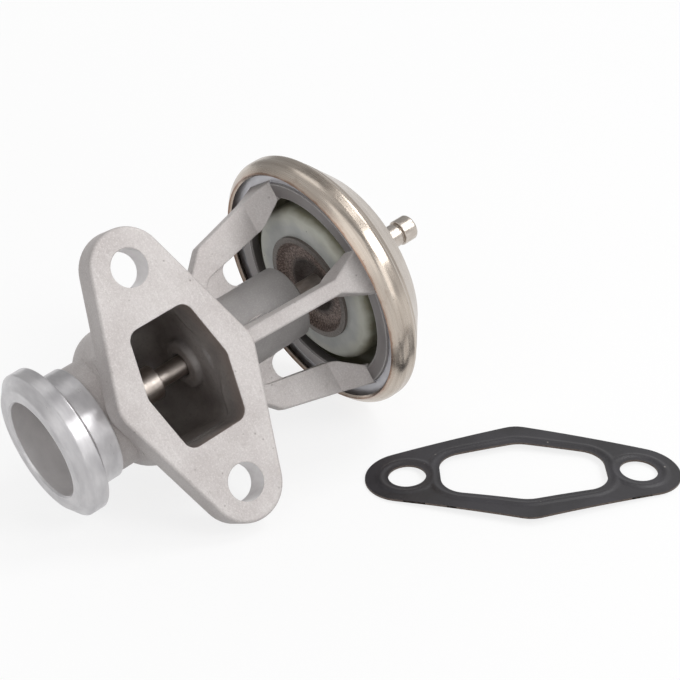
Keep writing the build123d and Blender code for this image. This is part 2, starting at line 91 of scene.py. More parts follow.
# ---------------------------------------------------------------- gasket sizes, in millimetres
GASKET_CENTRE = Vector((32.8531, -33.2597))
GASKET_TURN = radians(-38.0)
GASKET_THICKNESS = 0.5
GASKET_BOW_RADIUS = 456.0
GASKET_LOBE = 10.0
GASKET_WAIST = 19.4
GASKET_WAIST_ROUND = 7.0
GASKET_HOLE = 4.5
PORT_HALF_LENGTH = 19.7
PORT_HALF_WIDTH = 12.3
PORT_END_HALF_WIDTH = 7.2
PORT_END_ROUND = 6.2
PORT_WAIST_ROUND = 8.0
BEAD_MIDDLE = 2.0                 # from the opening's edge
BEAD_HALF_WIDTH = 1.3
BEAD_HEIGHT = 0.3
GRID = 0.42                       # between the points of the sheet's mesh
EDGE_CLEARANCE = 0.55 * GRID      # between those points and a cut line
SAME_POINT = 1e-5


def on_valve(along, out=0.0, up=0.0):
    """A place in the row frame from millimetres in the valve's own axes."""
    return ORIGIN + (STEM_AXIS * along + FLANGE_OUT * out + BOLT_AXIS * up) * MM


def in_valve(place):
    """Millimetres along the stem, out of the flange, up the bolt line, and off the axis."""
    offset = (place - ORIGIN) / MM
    out, up = offset.dot(FLANGE_OUT), offset.dot(BOLT_AXIS)
    return offset.dot(STEM_AXIS), out, up, hypot(out, up)


def shade(red, green, blue):
    """A linear colour from 0 to 255 display values."""
    shares = [value / 255 for value in (red, green, blue)]
    return tuple(c / 12.92 if c <= 0.04045 else ((c + 0.055) / 1.055) ** 2.4 for c in shares)


def grey(value):
    return (value, value, value)


def towards(azimuth, height):
    """A direction from degrees clockwise off +Y and degrees up."""
    turn, lift = radians(azimuth), radians(height)
    return Vector((sin(turn) * cos(lift), cos(turn) * cos(lift), sin(lift)))


# ---------------------------------------------------------------- node helpers
NOISE_RUN = 0.3, 0.7              # nearly all of a noise lies between these
EDGE_RUN = 0.86, 0.99             # cosine between the softened and the true normal


class Tree:
    """A node tree, with short calls for the nodes that finishes and the world are made from."""

    def __init__(self, tree):
        self.tree = tree

    def add(self, kind, **settings):
        node = self.tree.nodes.new(kind)
        for key, value in settings.items():
            setattr(node, key, value)
        return node

    def feed(self, socket, value):
        if isinstance(value, bpy.types.NodeSocket):
            self.tree.links.new(value, socket)
        elif isinstance(value, tuple) and len(socket.default_value) == 4:
            socket.default_value = (*value, 1.0)
        else:
            socket.default_value = value

    def fed(self, kind, output, **inputs):
        """The named output of a new node with these inputs."""
        node = self.add(kind)
        for name, value in inputs.items():
            self.feed(node.inputs[name], value)
        return node.outputs[output]

    def vector(self, operation, first, second=None, scale=None):
        node = self.add("ShaderNodeVectorMath", operation=operation)
        self.feed(node.inputs[0], first)
        if second is not None:
            self.feed(node.inputs[1], second)
        if scale is not None:
            self.feed(node.inputs["Scale"], scale)
        return node.outputs["Value" if operation == "DOT_PRODUCT" else "Vector"]

    def maths(self, operation, first, second=0.0, clamp=False):
        node = self.add("ShaderNodeMath", operation=operation, use_clamp=clamp)
        self.feed(node.inputs[0], first)
        self.feed(node.inputs[1], second)
        return node.outputs["Value"]

    def product(self, *values):
        result = values[0]
        for value in values[1:]:
            result = self.maths("MULTIPLY", result, value)
        return result

    def sum(self, *values):
        result = values[0]
        for value in values[1:]:
            result = self.maths("ADD", result, value)
        return result

    def level(self, factor, low, high, bottom, top, smooth=False):
        """From bottom to top while the factor runs from low to high."""
        node = self.add("ShaderNodeMapRange", clamp=True)
        if smooth:
            node.interpolation_type = "SMOOTHSTEP"
        runs = {"From Min": low, "From Max": high, "To Min": bottom, "To Max": top}
        for name, value in runs.items():
            self.feed(node.inputs[name], value)
        self.feed(node.inputs["Value"], factor)
        return node.outputs["Result"]

    def seen_by(self, *kinds):
        """1 for the named kinds of ray, 0 for the others."""
        path = self.add("ShaderNodeLightPath")
        total = path.outputs[kinds[0]]
        for name in kinds[1:]:
            total = self.maths("ADD", total, path.outputs[name], clamp=True)
        return total


class Nodes(Tree):
    """A material, with short calls for places on the valve, patterns and surface forms."""

    def __init__(self, name):
        self.material = bpy.data.materials.new(name)
        self.material.use_nodes = True
        super().__init__(self.material.node_tree)
        self.shader = self.tree.nodes["Principled BSDF"]
        self.place = self.add("ShaderNodeTexCoord").outputs["Object"]

    def set(self, **values):
        for name, value in values.items():
            self.feed(self.shader.inputs[name.replace("_", " ")], value)
        return self.material

    def millimetres(self):
        return self.vector("SCALE", self.place, scale=1 / MM)

    def valve_axes(self):
        """Millimetres along the stem, out of the flange and up the bolt line."""
        metres = self.vector("SUBTRACT", self.place, ORIGIN)
        self.offset = self.vector("SCALE", metres, scale=1 / MM)
        self.along, self.out, self.up = (
            self.vector("DOT_PRODUCT", self.offset, axis)
            for axis in (STEM_AXIS, FLANGE_OUT, BOLT_AXIS)
        )
        squares = self.sum(self.product(self.out, self.out), self.product(self.up, self.up))
        self.radius = self.maths("SQRT", squares)
        self.turn = self.maths("ARCTAN2", self.up, self.out)
        self.valve = self.together(self.along, self.out, self.up)

    def together(self, x, y, z):
        return self.fed("ShaderNodeCombineXYZ", "Vector", X=x, Y=y, Z=z)

    def turned_place(self, along, radius, turn):
        """A noise place that runs round the stem axis."""
        return self.together(
            self.product(self.along, along),
            self.product(self.radius, radius),
            self.product(self.turn, turn),
        )

    def stretched(self, along, out, up):
        """A noise place with its own number of cells a millimetre on each valve axis."""
        return self.together(
            self.product(self.along, along), self.product(self.out, out), self.product(self.up, up)
        )

    def round_the_stem(self):
        return self.vector("NORMALIZE", self.vector("CROSS_PRODUCT", STEM_AXIS, self.offset))

    def noise(self, scale, detail, roughness, place):
        return self.fed(
            "ShaderNodeTexNoise", "Fac",
            Scale=scale, Detail=detail, Roughness=roughness, Vector=place,
        )

    def spots(self, scale, place):
        return self.fed("ShaderNodeTexVoronoi", "Distance", Scale=scale, Vector=place)

    def ramp(self, factor, low, high, *stops):
        """Colours spread evenly over the factor's run from low to high."""
        node = self.add("ShaderNodeValToRGB")
        elements = node.color_ramp.elements
        while len(elements) < len(stops):
            elements.new(0.5)
        for index, colour in enumerate(stops):
            elements[index].position = low + (high - low) * index / (len(stops) - 1)
            elements[index].color = (*colour, 1.0)
        self.feed(node.inputs["Fac"], factor)
        return node.outputs["Color"]

    def spread(self, noise, bottom, top):
        """From bottom to top over the run that a noise keeps to."""
        return self.level(noise, *NOISE_RUN, bottom, top)

    def band(self, factor, middle, half, soft):
        """1 within half of the middle, fading to 0 over soft."""
        off = self.maths("ABSOLUTE", self.maths("SUBTRACT", factor, middle))
        return self.level(off, half, half + soft, 1.0, 0.0)

    def mix(self, factor, first, second):
        node = self.add("ShaderNodeMix", data_type="RGBA")
        colours = [socket for socket in node.inputs if socket.type == "RGBA"]
        self.feed(node.inputs["Factor"], factor)
        self.feed(colours[0], first)
        self.feed(colours[1], second)
        return next(socket for socket in node.outputs if socket.type == "RGBA")

    def bump(self, height, strength, millimetres, under=None):
        inputs = {} if under is None else {"Normal": under}
        return self.fed(
            "ShaderNodeBump", "Normal",
            Strength=strength, Distance=millimetres * MM, Height=height, **inputs,
        )

    def softened(self, millimetres, samples=4):
        """The normal as if edges were rounded a little."""
        node = self.add("ShaderNodeBevel", samples=samples)
        self.feed(node.inputs["Radius"], millimetres * MM)
        return node.outputs["Normal"]

    def edge_share(self, soft):
        """1 on edges, 0 on flats."""
        flat = self.add("ShaderNodeNewGeometry").outputs["Normal"]
        return self.level(self.vector("DOT_PRODUCT", soft, flat), *EDGE_RUN, 1.0, 0.0)


# ---------------------------------------------------------------- finishes
ACROSS = 0.25                     # reflections are drawn out across the turning marks

# each pair is the darkest and the lightest that the surface gets
CAST_SKIN = shade(197, 191, 189), shade(210, 205, 203)
CAST_TUBE = shade(150, 147, 146), shade(164, 161, 160)
CAST_STAIN = shade(156, 147, 144)
CAST_GLINT = shade(238, 235, 233)
CAST_PIT = shade(112, 102, 99)
CAST_SCUFF = shade(232, 228, 226)
CAST_WORN = shade(228, 224, 221)
COLLAR = shade(184, 182, 184), shade(210, 208, 209)
# painted highlight: the colour that the collar's edges are lightened to
COLLAR_EDGE_HIGHLIGHT = shade(236, 234, 234)
# painted light: the bores are coloured lighter than the collar, standing in for light inside them
BORE_PAINTED_LIGHT = shade(222, 219, 219), shade(236, 233, 233)
# painted shade: the ring face's colour, darker than the ledge for the shade it lies in
RING_PAINTED_SHADE = shade(128, 124, 124), shade(146, 142, 141)
# painted highlight: the colour that the ring's edges are lightened to
RING_EDGE_HIGHLIGHT = shade(226, 224, 222)
LEDGE = shade(172, 172, 176), shade(194, 193, 197)
# painted highlight: the colour that the ledge's edges are lightened to
LEDGE_EDGE_HIGHLIGHT = shade(226, 224, 224)
SOOT = shade(142, 136, 134), shade(166, 161, 158)
# painted highlight: the lighter colour of a band on the chamber wall
SOOT_PAINTED_HIGHLIGHT = shade(196, 192, 190)
SOOT_BROWN = shade(146, 124, 113)
SOOT_FLECK = shade(96, 90, 88)
NICKEL = shade(172, 161, 150), shade(198, 188, 177)
NICKEL_BURNT = shade(116, 84, 68)
NICKEL_TINTED = shade(170, 144, 126)
NICKEL_STAIN = shade(158, 142, 128)
NICKEL_SPECK = shade(112, 98, 88)
RUBBER = shade(184, 187, 184), shade(202, 204, 200)
# painted light on the diaphragm: a cream highlight colour and an olive shade colour
RUBBER_PAINTED_HIGHLIGHT = shade(224, 224, 204)
RUBBER_PAINTED_SHADE = shade(140, 137, 118)
RUBBER_SPECK = shade(70, 66, 58)
PLATE_BROWNS = shade(72, 58, 53), shade(118, 101, 93), shade(164, 147, 138)
PLATE_BLISTER = shade(84, 66, 60)
PLATE_RIM = shade(112, 106, 101)
# painted shade: the dark colour of the plate's recessed middle
PLATE_MIDDLE_SHADE = shade(62, 52, 47)
COATING = shade(36, 34, 36), shade(50, 48, 52)
COATING_GRAIN = shade(88, 86, 92)
COATING_DUST = shade(170, 165, 158)
CUT_STEEL = shade(74, 64, 60), shade(112, 100, 92)
SPRING = shade(120, 118, 116), shade(160, 158, 156)
STEM = shade(188, 178, 170), shade(218, 210, 203)
PLATED = shade(168, 165, 160), shade(192, 189, 184)
BRONZE = shade(134, 104, 66), shade(168, 136, 90)
SEAT = shade(118, 112, 106), shade(160, 154, 148)
GRAPHITE = shade(40, 40, 40), shade(66, 66, 66)
NOZZLE = shade(184, 175, 166), shade(210, 202, 194)

# where a colour begins and where it is full, in millimetres on the valve
SOOT_HIGHLIGHT_OUT = 10.5              # the painted highlight band's middle, out of the flange
SOOT_HIGHLIGHT_ALONG = 7.0, 9.5
SOOT_MOUTH_OUT = 16.0, FLANGE_FACE
SOOT_SEAT_ALONG = -11.0, -4.0
LIP_BURNT_ALONG = 47.62, 47.85
LIP_TINTED_ALONG = 47.8, 48.6
# where the diaphragm's painted highlight and painted shade lie
RUBBER_HIGHLIGHT_RADIUS = 16.4, 18.6
RUBBER_SHADE_RADIUS = 19.4, 20.9
PLATE_RIM_RADIUS = 12.1, 12.5
PLATE_SHADE_RADIUS = 7.0, 8.6


def cast_aluminium(name, dark, light, grain=0.5, edge=0.45, sanded=0.0, stain_and_glint=0.24):
    """Blasted casting: fine grit, faint clouds, painted glints on the grains, small pits and
    scuffs, worn bright edges.
    """
    nodes = Nodes(name)
    nodes.valve_axes()
    cloud = nodes.noise(0.1, 2.0, 0.5, nodes.valve)
    grit = nodes.noise(2.3, 5.0, 0.72, nodes.valve)
    grains = nodes.spots(2.1, nodes.valve)
    pits = nodes.spots(0.3, nodes.valve)
    scuffs = nodes.noise(1.0, 3.0, 0.6, nodes.stretched(1.9, 1.9, 0.16))
    soft = nodes.softened(edge)
    colour = nodes.ramp(cloud, 0.34, 0.66, dark, light)
    colour = nodes.mix(nodes.level(grit, 0.36, 0.66, stain_and_glint, 0.0), colour, CAST_STAIN)
    # painted glints: near-white spots on the grains, scaled with the stains
    bright = nodes.level(grains, 0.0, 0.5, 1.25 * stain_and_glint, 0.0)
    colour = nodes.mix(bright, colour, CAST_GLINT)
    stained = nodes.level(nodes.noise(0.42, 3.0, 0.55, nodes.valve), 0.66, 0.76, 0.0, 0.3)
    colour = nodes.mix(stained, colour, CAST_STAIN)
    colour = nodes.mix(nodes.level(pits, 0.03, 0.1, 0.5, 0.0), colour, CAST_PIT)
    colour = nodes.mix(nodes.level(scuffs, 0.6, 0.74, 0.0, sanded), colour, CAST_SCUFF)
    worn = nodes.product(nodes.edge_share(soft), nodes.level(grit, 0.42, 0.58, 0.1, 0.6))
    colour = nodes.mix(worn, colour, CAST_WORN)
    height = nodes.sum(grit, nodes.level(pits, 0.0, 0.1, -1.0, 0.0), nodes.product(grains, 0.35))
    normal = nodes.bump(height, grain, 0.1, soft)
    normal = nodes.bump(nodes.noise(0.6, 3.0, 0.5, nodes.valve), grain, 0.12, normal)
    return nodes.set(
        Base_Color=colour, Metallic=0.3, Normal=normal,
        Roughness=nodes.spread(grit, 0.66, 0.5),
    )


def turned_metal(
    name, dark, light, roughness, rings=0.2, anisotropy=0.5, edge=0.15, metallic=1.0, rim=None
):
    """Lathe-turned metal: fine rings round the stem axis, slow streaks, and thin painted highlights
    on the edges when a rim colour is given.
    """
    nodes = Nodes(name)
    nodes.valve_axes()
    lines = nodes.noise(1.0, 3.0, 0.7, nodes.turned_place(9.0, 9.0, 0.5))
    streaks = nodes.noise(1.0, 3.0, 0.55, nodes.turned_place(0.35, 0.35, 2.2))
    haze = nodes.noise(0.5, 3.0, 0.6, nodes.valve)
    soft = nodes.softened(edge)
    colour = nodes.ramp(streaks, 0.32, 0.66, dark, light)
    colour = nodes.mix(nodes.spread(lines, 0.3, 0.0), colour, dark)
    # a rim colour paints the edges lighter, as a highlight
    if rim:
        colour = nodes.mix(nodes.edge_share(soft), colour, rim)
    low, high = roughness
    rough = nodes.sum(
        nodes.spread(haze, low, high), nodes.spread(lines, 0.06, 0.0)
    )
    return nodes.set(
        Base_Color=colour, Metallic=metallic, Roughness=rough, Anisotropic=anisotropy,
        Anisotropic_Rotation=ACROSS, Tangent=nodes.round_the_stem(),
        Normal=nodes.bump(lines, rings, 0.02, soft),
    )


def chamber_soot():
    """Dull charcoal cast walls, warmer and browner near the mouth and the seat, with a painted
    highlight band on the wall towards the can.
    """
    nodes = Nodes("chamber_soot")
    nodes.valve_axes()
    cloud = nodes.noise(0.12, 3.0, 0.5, nodes.valve)
    fine = nodes.noise(1.4, 4.0, 0.6, nodes.valve)
    colour = nodes.ramp(cloud, 0.35, 0.65, *SOOT)
    # painted highlight: a lighter band that stands in for a soft reflection on the wall
    painted_highlight = nodes.product(
        nodes.band(nodes.out, SOOT_HIGHLIGHT_OUT, 1.0, 4.0),
        nodes.level(nodes.along, *SOOT_HIGHLIGHT_ALONG, 0.0, 0.5),
    )
    colour = nodes.mix(painted_highlight, colour, SOOT_PAINTED_HIGHLIGHT)
    mouth = nodes.level(nodes.out, *SOOT_MOUTH_OUT, 0.0, 0.55)
    seat = nodes.level(nodes.along, *SOOT_SEAT_ALONG, 0.6, 0.0)
    colour = nodes.mix(nodes.maths("MAXIMUM", mouth, seat), colour, SOOT_BROWN)
    colour = nodes.mix(nodes.level(fine, 0.52, 0.8, 0.0, 0.4), colour, SOOT_FLECK)
    normal = nodes.bump(fine, 0.3, 0.06, nodes.softened(1.6, 6))
    return nodes.set(
        Base_Color=colour, Metallic=0.15, Normal=normal,
        Roughness=nodes.spread(fine, 0.42, 0.55),
    )


def can_nickel():
    """Drawn and plated steel sheet, with a heat-browned edge on the rolled lip."""
    nodes = Nodes("can_nickel")
    nodes.valve_axes()
    draw = nodes.noise(1.0, 4.0, 0.6, nodes.turned_place(0.9, 0.9, 1.1))
    fine = nodes.noise(1.0, 3.0, 0.7, nodes.turned_place(6.0, 6.0, 1.6))
    haze = nodes.noise(0.18, 3.0, 0.6, nodes.valve)
    specks = nodes.spots(0.5, nodes.valve)
    colour = nodes.ramp(draw, *NOISE_RUN, *NICKEL)
    wander = nodes.spread(nodes.noise(0.25, 3.0, 0.6, nodes.valve), -0.15, 0.15)
    lip = nodes.sum(nodes.along, wander)
    colour = nodes.mix(nodes.level(lip, *LIP_BURNT_ALONG, 0.85, 0.0), colour, NICKEL_BURNT)
    colour = nodes.mix(nodes.level(lip, *LIP_TINTED_ALONG, 0.35, 0.0), colour, NICKEL_TINTED)
    stain = nodes.level(nodes.noise(0.3, 3.0, 0.6, nodes.valve), 0.58, 0.74, 0.0, 0.4)
    colour = nodes.mix(stain, colour, NICKEL_STAIN)
    colour = nodes.mix(nodes.level(specks, 0.04, 0.09, 0.6, 0.0), colour, NICKEL_SPECK)
    rough = nodes.sum(
        nodes.spread(haze, 0.17, 0.27), nodes.spread(fine, 0.0, 0.06)
    )
    normal = nodes.bump(draw, 0.08, 0.08)
    normal = nodes.bump(nodes.noise(0.22, 2.0, 0.5, nodes.valve), 0.3, 0.12, normal)
    normal = nodes.bump(fine, 0.15, 0.015, normal)
    return nodes.set(
        Base_Color=colour, Metallic=1.0, Roughness=rough, Anisotropic=0.3,
        Anisotropic_Rotation=ACROSS, Tangent=nodes.round_the_stem(), Normal=normal,
    )


def diaphragm_rubber():
    """Grey-green moulded rubber with a painted cream highlight band, and painted olive shade where
    it turns into the roll.
    """
    nodes = Nodes("diaphragm_rubber")
    nodes.valve_axes()
    cloud = nodes.noise(0.2, 3.0, 0.5, nodes.valve)
    grain = nodes.noise(3.0, 3.0, 0.6, nodes.valve)
    specks = nodes.spots(0.3, nodes.valve)
    colour = nodes.ramp(cloud, 0.35, 0.65, *RUBBER)
    wander = nodes.spread(cloud, -0.5, 0.5)
    edge = nodes.sum(nodes.radius, wander)
    # painted highlight: a cream band inside the shoulder
    colour = nodes.mix(nodes.level(edge, *RUBBER_HIGHLIGHT_RADIUS, 0.0, 0.4), colour, RUBBER_PAINTED_HIGHLIGHT)
    # painted shade: olive where the sheet turns into the roll
    colour = nodes.mix(nodes.level(edge, *RUBBER_SHADE_RADIUS, 0.0, 1.0), colour, RUBBER_PAINTED_SHADE)
    colour = nodes.mix(nodes.level(specks, 0.03, 0.06, 0.8, 0.0), colour, RUBBER_SPECK)
    normal = nodes.bump(grain, 0.25, 0.04)
    return nodes.set(
        Base_Color=colour, Roughness=nodes.spread(grain, 0.34, 0.5), Normal=normal
    )


def heat_tinted_plate():
    """Pitted brown steel: a thin worn rim, a rough annulus and a middle painted dark as shade in
    its recess.
    """
    nodes = Nodes("heat_tinted_steel")
    nodes.valve_axes()
    skin = nodes.noise(2.3, 6.0, 0.6, nodes.valve)
    blisters = nodes.spots(1.0, nodes.valve)
    colour = nodes.ramp(skin, 0.36, 0.66, *PLATE_BROWNS)
    colour = nodes.mix(nodes.level(blisters, 0.1, 0.3, 0.6, 0.0), colour, PLATE_BLISTER)
    rim = nodes.level(nodes.radius, *PLATE_RIM_RADIUS, 0.0, 0.9)
    colour = nodes.mix(rim, colour, PLATE_RIM)
    # painted shade: the middle darkened for the shade in its recess
    middle = nodes.level(nodes.radius, *PLATE_SHADE_RADIUS, 0.9, 0.0)
    colour = nodes.mix(middle, colour, PLATE_MIDDLE_SHADE)
    height = nodes.sum(skin, nodes.level(blisters, 0.0, 0.4, -0.4, 0.0))
    return nodes.set(
        Base_Color=colour, Metallic=0.4, Normal=nodes.bump(height, 0.8, 0.3),
        Roughness=nodes.spread(skin, 0.6, 0.38),
    )


def gasket_coating():
    """Charcoal rubber-coated sheet with faint dust."""
    nodes = Nodes("gasket_coating")
    place = nodes.millimetres()
    cloud = nodes.noise(0.07, 3.0, 0.5, place)
    grain = nodes.noise(2.6, 4.0, 0.6, place)
    dust = nodes.spots(0.16, place)
    colour = nodes.ramp(cloud, 0.36, 0.62, *COATING)
    colour = nodes.mix(nodes.level(grain, 0.5, 0.8, 0.0, 0.25), colour, COATING_GRAIN)
    colour = nodes.mix(nodes.level(dust, 0.02, 0.05, 0.7, 0.0), colour, COATING_DUST)
    return nodes.set(
        Base_Color=colour, Roughness=nodes.spread(grain, 0.36, 0.5),
        Normal=nodes.bump(grain, 0.2, 0.03),
    )


def gasket_cut():
    """The sheet's punched edge: dull steel between two coats."""
    nodes = Nodes("gasket_edge")
    grain = nodes.noise(1.8, 3.0, 0.6, nodes.millimetres())
    colour = nodes.ramp(grain, 0.35, 0.65, *CUT_STEEL)
    return nodes.set(
        Base_Color=colour, Metallic=0.5, Roughness=nodes.spread(grain, 0.42, 0.58),
        Normal=nodes.bump(grain, 0.2, 0.03),
    )


def plain_metal(name, dark, light, metallic, roughness):
    """A small inner piece: worn metal or graphite with fine grain."""
    nodes = Nodes(name)
    nodes.valve_axes()
    grain = nodes.noise(1.4, 4.0, 0.6, nodes.valve)
    low, high = roughness
    return nodes.set(
        Base_Color=nodes.ramp(grain, 0.35, 0.65, dark, light), Metallic=metallic,
        Roughness=nodes.spread(grain, low, high),
        Normal=nodes.bump(grain, 0.15, 0.03, nodes.softened(0.15)),
    )


# ---------------------------------------------------------------- pieces
def new_piece(name, mesh):
    piece = bpy.data.objects.new(name, mesh)
    bpy.context.scene.collection.objects.link(piece)
    return piece


def smooth(mesh, angle=32.0):
    for polygon in mesh.polygons:
        polygon.use_smooth = True
    mesh.set_sharp_from_angle(angle=radians(angle))


def finished_mesh(name, work, angle, *materials):
    """The mesh of a bmesh, smoothed, with its materials."""
    bmesh.ops.recalc_face_normals(work, faces=work.faces)
    mesh = bpy.data.meshes.new(name)
    work.to_mesh(mesh)
    work.free()
    smooth(mesh, angle)
    for material in materials:
        mesh.materials.append(material)
    return mesh


def cut_from(node, name, keep, material):
    """A new piece from the faces of a CAD node whose corners pass the test."""
    work = bmesh.new()
    work.from_mesh(frame["nodes"][node].data)
    bmesh.ops.remove_doubles(work, verts=work.verts, dist=WELD * MM)
    drop = [face for face in work.faces if not keep([in_valve(v.co) for v in face.verts])]
    bmesh.ops.delete(work, geom=drop, context="FACES")
    mesh = bpy.data.meshes.new(name)
    work.to_mesh(mesh)
    work.free()
    smooth(mesh)
    for polygon in mesh.polygons:
        polygon.material_index = 0
    mesh.materials.clear()
    mesh.materials.append(material)
    return new_piece(name, mesh)


def paint(node, *materials):
    mesh = frame["nodes"][node].data
    mesh.materials.clear()
    for material in materials:
        mesh.materials.append(material)
    return mesh


def dress_housing():
    """One casting with seven finishes, chosen by where each face lies; the ring's face carries
    painted shade and the bores painted light.
    """
    mesh = paint(
        "housing",
        cast_aluminium("cast_aluminium", *CAST_SKIN, grain=0.6, sanded=0.25),
        turned_metal(
            "turned_collar", *COLLAR, (0.26, 0.36),
            metallic=0.8, anisotropy=0.7, rim=COLLAR_EDGE_HIGHLIGHT, edge=0.3,
        ),
        turned_metal("turned_bore", *BORE_PAINTED_LIGHT, (0.34, 0.44), metallic=0.2),
        chamber_soot(),
        turned_metal(
            "turned_ring", *RING_PAINTED_SHADE, (0.4, 0.5), metallic=0.6, rim=RING_EDGE_HIGHLIGHT, edge=0.35
        ),
        turned_metal("turned_ledge", *LEDGE, (0.34, 0.44), rim=LEDGE_EDGE_HIGHLIGHT, edge=0.3),
        cast_aluminium("cast_tube", *CAST_TUBE, grain=0.3, stain_and_glint=0.1),
    )
    cast, collar, bore, chamber, ring, ledge, tube = range(7)
    for polygon in mesh.polygons:
        along, out, up, radius = in_valve(polygon.center)
        in_hole = hypot(along, abs(up) - HOLE_HEIGHT) < HOLE_RADIUS
        behind_face = out < FLANGE_FACE - TOUCH
        in_chamber = CHAMBER_LEFT < along < CHAMBER_RIGHT and abs(up) < PORT_REACH
        choice = cast
        if along < LAND_END + TOUCH:
            choice = bore if radius < COLLAR_BORE else collar
        elif along < CHAMBER_LEFT and radius < COLLAR_BORE:
            choice = bore
        elif in_chamber and behind_face and (radius < CHAMBER_RADIUS or out > 0):
            choice = chamber
        elif along > RING_FACE and radius > RING_BORE:
            choice = ledge if radius > RING_STEP else ring
        elif in_hole and behind_face:
            choice = bore
        elif along > TUBE_START and radius < TUBE_RADIUS:
            choice = tube
        polygon.material_index = choice


def dress_diaphragm():
    """The moulded sheet in three pieces: its middle, its cup, its clamped rim."""
    rubber = diaphragm_rubber()

    def middle_radius(corners):
        return sum(corner[3] for corner in corners) / len(corners)

    def in_middle(corners):
        return max(corner[3] for corner in corners) < PLATE_EDGE

    def in_rim(corners):
        return middle_radius(corners) >= DIAPHRAGM_CREST

    def in_cup(corners):
        return not in_middle(corners) and not in_rim(corners)

    middle = cut_from("diaphragm", "diaphragm_middle", in_middle, rubber)
    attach(middle, "poppet")
    rim = cut_from("diaphragm", "diaphragm_rim", in_rim, rubber)
    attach(rim, "valve_body")
    cup = cut_from("diaphragm", "diaphragm_cup", in_cup, rubber)
    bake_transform(cup)
    for piece in (middle, rim, cup):
        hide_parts("diaphragm")


def dress_spring():
    wire = plain_metal("spring_steel", *SPRING, metallic=1.0, roughness=(0.28, 0.38))
    coil = cut_from("return_spring", "spring_coil", lambda corners: True, wire)
    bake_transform(coil)
    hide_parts("return_spring")


def dress_small_pieces():
    """The other CAD nodes, each in one finish."""
    finishes = {
        turned_metal("stem_steel", *STEM, (0.36, 0.46), rings=0.12): (
            "valve_disc", "poppet_hub", "valve_stem",
        ),
        turned_metal("bush_bronze", *BRONZE, (0.28, 0.4)): ("lower_bush", "upper_bush"),
        turned_metal("seat_steel", *SEAT, (0.3, 0.4)): ("valve_seat",),
        turned_metal("nozzle_steel", *NOZZLE, (0.26, 0.34), rings=0.12): ("vacuum_nozzle",),
        plain_metal("packing_graphite", *GRAPHITE, metallic=0.0, roughness=(0.5, 0.65)): (
            "stem_packing",
        ),
        plain_metal("plated_steel", *PLATED, metallic=1.0, roughness=(0.28, 0.4)): (
            "packing_washer", "dust_cap", "spring_cup", "clamp_washer", "stem_nut",
            "spring_seat", "clamp_ring",
        ),
        heat_tinted_plate(): ("lower_plate",),
        can_nickel(): ("diaphragm_can",),
    }
    for material, nodes in finishes.items():
        for node in nodes:
            paint(node, material)


# ---------------------------------------------------------------- gasket
def arc(centre, radius, start, end):
    """Points on an arc from one angle to another, about a grid step apart."""
    count = max(3, ceil(abs(end - start) * radius / GRID))
    turns = [start + (end - start) * index / count for index in range(count + 1)]
    return [Vector((centre[0] + radius * cos(t), centre[1] + radius * sin(t))) for t in turns]


def closed(points):
    """The closed line with its long runs divided."""
    line = []
    for here, following in zip(points, points[1:] + points[:1]):
        count = max(1, round((following - here).length / GRID))
        line += [here.lerp(following, index / count) for index in range(count)]
    return line


def plate_outline(lobe, half_width, rounding):
    """Lobes round the holes, a rounded waist, and the straight lines that touch both."""
    waist = half_width - rounding
    step = rounding - lobe
    run = sqrt(hypot(HOLE_HEIGHT, waist) ** 2 - step ** 2)
    lean = pi / 2 - atan2(waist, HOLE_HEIGHT) - atan2(step, run)
    line = arc((HOLE_HEIGHT, 0), lobe, -lean, lean)
    line += arc((0, waist), rounding, lean, pi - lean)
    line += arc((-HOLE_HEIGHT, 0), lobe, pi - lean, pi + lean)
    line += arc((0, -waist), rounding, pi + lean, 2 * pi - lean)
    return closed(line)


def gasket_port():
    """A six-sided opening with rounded corners."""
    end = PORT_HALF_LENGTH, PORT_END_HALF_WIDTH, PORT_END_ROUND
    waist = 0.0, PORT_HALF_WIDTH, PORT_WAIST_ROUND
    corners = [end, waist, (-end[0], *end[1:])]
    corners += [(x, -y, rounding) for x, y, rounding in reversed(corners)]
    line = []
    for index, (x, y, rounding) in enumerate(corners):
        here = Vector((x, y))
        before = (Vector(corners[index - 1][:2]) - here).normalized()
        after = (Vector(corners[(index + 1) % len(corners)][:2]) - here).normalized()
        half = before.angle(after) / 2
        centre = here + (before + after).normalized() * rounding / sin(half)
        reach = rounding * cos(half) / sin(half)
        start, stop = here + before * reach - centre, here + after * reach - centre
        first = atan2(start.y, start.x)
        swing = (atan2(stop.y, stop.x) - first + pi) % (2 * pi) - pi
        line += arc(centre, rounding, first, first + swing)
    return closed(line)


class Edges:
    """The gasket's cut lines, which tell how far a point is from them and on which side."""

    def __init__(self, outer, openings):
        self.loops = [outer, *openings]
        self.points = [point for loop in self.loops for point in loop]
        self.outward = []
        for loop, sign in zip(self.loops, [1] + [-1] * len(openings)):
            middle = sum(loop, Vector((0, 0))) / len(loop)
            for before, after, here in zip(loop[-1:] + loop[:-1], loop[1:] + loop[:1], loop):
                run = after - before
                side = Vector((run.y, -run.x)).normalized()
                if side.dot(here - middle) < 0:
                    side = -side
                self.outward.append(side * sign)
        self.near = self.tree(self.points)
        self.near_opening = self.tree(self.points[len(outer):])

    @staticmethod
    def tree(points):
        tree = KDTree(len(points))
        for index, point in enumerate(points):
            tree.insert((point.x, point.y, 0), index)
        tree.balance()
        return tree

    def constraints(self):
        pairs, first = [], 0
        for loop in self.loops:
            count = len(loop)
            pairs += [(first + i, first + (i + 1) % count) for i in range(count)]
            first += count
        return pairs

    def inside(self, point, margin=0.0):
        place, index, distance = self.near.find((point.x, point.y, 0))
        side = (point - Vector(place[:2])).dot(self.outward[index])
        return side < 0 and distance > margin

    def off_opening(self, point):
        return self.near_opening.find((point.x, point.y, 0))[2]


